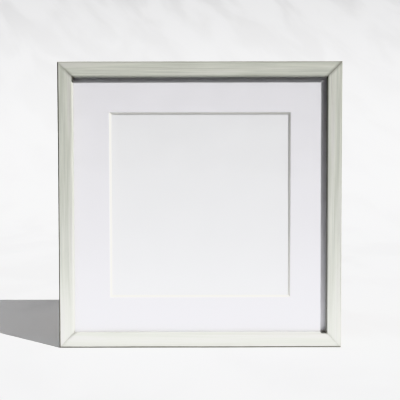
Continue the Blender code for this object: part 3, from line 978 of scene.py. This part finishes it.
def hanger(hand, metal):
    """A strap and its ring on one side rail."""
    low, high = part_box("hanger_strap_" + hand)
    reach = EYE_BORE + STEEL
    eye = Vector(((low.x + high.x) / 2, high.y - reach, high.z - reach))
    down = Vector((0, 0, -1))
    strap = place_object("strap_" + hand, strap_mesh(), axes(down, down.cross(BACKWARD), eye), metal)
    seat = axes(SIDEWAYS, BACKWARD, eye + down * SCREW_DROP)
    cut(strap, [rod(SHANK_RADIUS + HOLE_PLAY, -4 * MM, 4 * MM, seat)])
    strap.data.shade_smooth()
    strap.data.set_sharp_from_angle(angle=math.radians(40))
    stands_for(strap, "hanger_strap_" + hand)
    ring = place_object("d_ring_" + hand, ring_mesh(metal), Matrix.Translation(eye))
    stands_for(ring, "hanger_ring_" + hand)


def ring_mesh(finish):
    """A D-shaped loop of round wire. Its straight bar is at the origin, along local X."""
    curve = bpy.data.curves.new("d_ring", "CURVE")
    curve.dimensions = "3D"
    curve.bevel_depth = RING_WIRE
    curve.bevel_resolution = 5
    corner = RING_HALF / 4
    loop = [(x, 0.0, z - RING_LEG) for x, z in arc((0, 0), RING_HALF, 0, -180, 40)]
    left = arc((corner - RING_HALF, -corner), corner, 180, 90, 10)
    right = arc((RING_HALF - corner, -corner), corner, 90, 0, 10)
    loop += [(x, 0.0, z) for x, z in left + right]
    spline = curve.splines.new("POLY")
    spline.points.add(len(loop) - 1)
    for target, point in zip(spline.points, loop):
        target.co = (*point, 1.0)
    spline.use_cyclic_u = True
    mesh = mesh_of_curve("d_ring", curve)
    mesh.materials.append(finish)
    return mesh


# ---------------------------------------------------------------- studio


def ground(name, strips, finish):
    """A stage sheet from strips, each a span of X and a line of (y, z) points that it follows."""
    bm = bmesh.new()
    for (left, right), side in strips:
        rows = [[bm.verts.new((x, y, z)) for x in (left, right)] for y, z in side]
        for first, second in zip(rows, rows[1:]):
            bm.faces.new((first[0], first[1], second[1], second[0]))
    mesh = mesh_of(name, bm, 60)
    obj = place_object(name, mesh, Matrix.Identity(4), finish)
    if mesh.polygons[0].normal.z < 0:
        mesh.flip_normals()
    return obj


def sweep(finish):
    """A floor that curves up into a far wall. Only the floor near the box throws light back on it."""
    start, radius, top = 1.3, 1.6, 6.0
    cove = [math.radians(3 * i) for i in range(31)]
    wall = [(FLOOR_BACK, 0.0)]
    wall += [(start + radius * math.sin(t), radius - radius * math.cos(t)) for t in cove]
    wall += [(start + radius, top)]
    near = [(NEAR_FLOOR, 0.0), (FLOOR_BACK, 0.0)]
    ground("studio_sweep", [((-FAR, FAR), wall), ((-NEAR_HALF, NEAR_HALF), near)], finish)
    around = [((-FAR, FAR), [(-FAR, 0.0), (NEAR_FLOOR, 0.0)])]
    around += [((-FAR, -NEAR_HALF), near), ((NEAR_HALF, FAR), near)]
    ground("studio_floor", around, finish).visible_diffuse = False


def soft_light(name, place, size, power, colour):
    """A rectangular light that shines up, which no camera or mirror sees."""
    data = bpy.data.lights.new(name, "AREA")
    data.shape = "RECTANGLE"
    data.size, data.size_y = size
    data.energy = power
    data.color = colour
    light = bpy.data.objects.new(name, data)
    light.location = place
    light.rotation_mode = "QUATERNION"
    light.rotation_quaternion = UP.to_track_quat("-Z", "Y")
    light.visible_camera = False
    light.visible_glossy = False
    bpy.context.scene.collection.objects.link(light)


def studio():
    """The camera, the sun, the light off the near floor and the sky."""
    scene = bpy.context.scene
    data = bpy.data.cameras.new("camera")
    data.lens = LENS
    data.sensor_width = 36.0
    camera = bpy.data.objects.new("camera", data)
    camera.location = (0, FRONT_Y - CAMERA_DISTANCE, CAMERA_HEIGHT)
    camera.rotation_euler = (math.pi / 2 - CAMERA_PITCH, CAMERA_ROLL, 0)
    scene.collection.objects.link(camera)
    scene.camera = camera

    sun = bpy.data.lights.new("key", "SUN")
    sun.energy = SUN_STRENGTH
    sun.angle = SUN_ANGLE
    sun.color = (1.0, 0.993, 0.988)
    key = bpy.data.objects.new("key", sun)
    key.rotation_mode = "QUATERNION"
    key.rotation_quaternion = SUN_TRAVEL.to_track_quat("-Z", "Y")
    scene.collection.objects.link(key)

    glow = Vector((0, FRONT_Y - GLOW_START - GLOW_DEPTH / 2, 0.001))
    soft_light("floor_glow", glow, (GLOW_WIDTH, GLOW_DEPTH), GLOW_POWER, (0.965, 0.985, 1.05))
    scene.world = sky()
    scene.view_settings.view_transform = "Khronos PBR Neutral"


def sky():
    """A sky that is brightest overhead and dark at the horizon. The camera itself sees an even pale tone."""
    world = bpy.data.worlds.new("sky")
    world.use_nodes = True
    tree = world.node_tree
    background = tree.nodes["Background"]
    direction = tree.nodes.new("ShaderNodeTexCoord").outputs["Generated"]
    height = tree.nodes.new("ShaderNodeSeparateXYZ")
    tree.links.new(direction, height.inputs[0])
    shade = tree.nodes.new("ShaderNodeMapRange")
    tree.links.new(height.outputs["Z"], shade.inputs["Value"])
    shade.inputs["From Min"].default_value = 0.0
    shade.inputs["From Max"].default_value = 0.9
    shade.inputs["To Min"].default_value = SKY_LOW
    shade.inputs["To Max"].default_value = 1.0
    seen = tree.nodes.new("ShaderNodeMix")
    seen.data_type = "RGBA"
    tree.links.new(tree.nodes.new("ShaderNodeLightPath").outputs["Is Camera Ray"], seen.inputs["Factor"])
    tree.links.new(shade.outputs["Result"], seen.inputs[6])
    seen.inputs[7].default_value = (*[SEEN_SKY / SKY_STRENGTH] * 3, 1.0)
    tree.links.new(seen.outputs[2], background.inputs["Color"])
    background.inputs["Strength"].default_value = SKY_STRENGTH
    return world


# ---------------------------------------------------------------- assembly


def cad_copy(node, grow):
    """A cutter in a CAD node's shape, grown outwards a little."""
    mesh = frame["nodes"][node].data.copy()
    bm = bmesh.new()
    bm.from_mesh(mesh)
    bmesh.ops.remove_doubles(bm, verts=bm.verts, dist=0.000001)
    bmesh.ops.recalc_face_normals(bm, faces=bm.faces)
    bm.normal_update()
    for vertex in bm.verts:
        vertex.co += vertex.normal * grow
    bm.to_mesh(mesh)
    bm.free()
    return place_object("slot", mesh, Matrix.Identity(4))


def nail_slot(corner):
    """A slot for both nails of a corner, open at the back."""
    obj = cad_copy(f"v_nail_{corner}_rear", 0.03 * MM)
    low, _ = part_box(f"v_nail_{corner}_deep")
    _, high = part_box(f"v_nail_{corner}_rear")
    middle = (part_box(f"v_nail_{corner}_rear")[0].y + high.y) / 2
    for vertex in obj.data.vertices:
        vertex.co.y = RIM_Y + 1 * MM if vertex.co.y > middle else low.y - 0.05 * MM
    return obj


def rails(wood, raw):
    """The four rails, with slots for the V-nails and holes for the screws."""
    for number, side in enumerate(SIDES):
        obj = rail(side, number, wood, raw)
        cutters = [nail_slot(corner) for corner in RAIL_ENDS[side]]
        for node in frame["nodes"]:
            if node.startswith("button_screw_" + side) or node == "hanger_screw_" + side:
                low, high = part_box(node)
                seat = axes(SIDEWAYS, BACKWARD, Vector(((low.x + high.x) / 2, RIM_Y, (low.z + high.z) / 2)))
                cutters.append(rod(SHANK_RADIUS + 0.03 * MM, -SHANK_LENGTH, 1 * MM, seat, 28))
        cut(obj, cutters)
        obj.data.shade_smooth()
        obj.data.set_sharp_from_angle(angle=math.radians(30))
        dress_rail(obj, side, number)
        stands_for(obj, "rail_" + side)


def main():
    nail = zinc("nail_steel", (0.50, 0.50, 0.50), (0.30, 0.30, 0.30))
    metal = zinc()
    rails(whitewashed_wood(), bare_wood())
    cream = core("mat_core", (0.84, 0.825, 0.785), (0.79, 0.775, 0.73), 0.0006)
    window_mat(
        paper("mat_face", (0.716, 0.706, 0.738), (0.690, 0.682, 0.710)),
        cream,
        paper("mat_back", (0.80, 0.79, 0.76), (0.74, 0.73, 0.70)),
    )
    board("pane", "glass_pane", 0.25 * MM, clear_glass(), glass_edge())
    card = paper("insert_face", (0.720, 0.720, 0.733), (0.698, 0.698, 0.711), 0.75, 0.00002)
    board("insert_card", "insert_sheet", 0.12 * MM, card, cream)
    foam = core("foam_core", (0.88, 0.88, 0.87), (0.78, 0.78, 0.77), 0.0004)
    liner = paper("foam_liner", (0.84, 0.84, 0.83), (0.80, 0.80, 0.79))
    for side in SIDES:
        board("foam_strip_" + side, "spacer_" + side, 0.15 * MM, liner, foam)
    back_board(hardboard())

    screws = screw_mesh(metal)
    buttons = button_mesh(metal)
    turn = 0.3
    for node in sorted(frame["nodes"]):
        if node.startswith(("button_screw_", "hanger_screw_")):
            turn += 1.1
            name = node.replace("button_screw", "screw").replace("hanger_screw", "strap_screw")
            screw(node, name, screws, turn)
        elif node.startswith("turn_button_"):
            side = node.split("_")[2]
            low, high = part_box(node)
            screw_low, screw_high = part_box(node.replace("turn_button", "button_screw"))
            pivot = (screw_low + screw_high) / 2
            pivot.y = (low.y + high.y) / 2
            matrix = axes(INWARD[side], BACKWARD, pivot)
            stands_for(place_object(node.replace("turn_button", "button"), buttons, matrix), node)
        elif node.startswith("v_nail_"):
            obj = frame["nodes"][node]
            obj.data.materials.clear()
            obj.data.materials.append(nail)
    for hand in ("left", "right"):
        hanger(hand, metal)
    sweep(stage_paper())
    studio()


main()
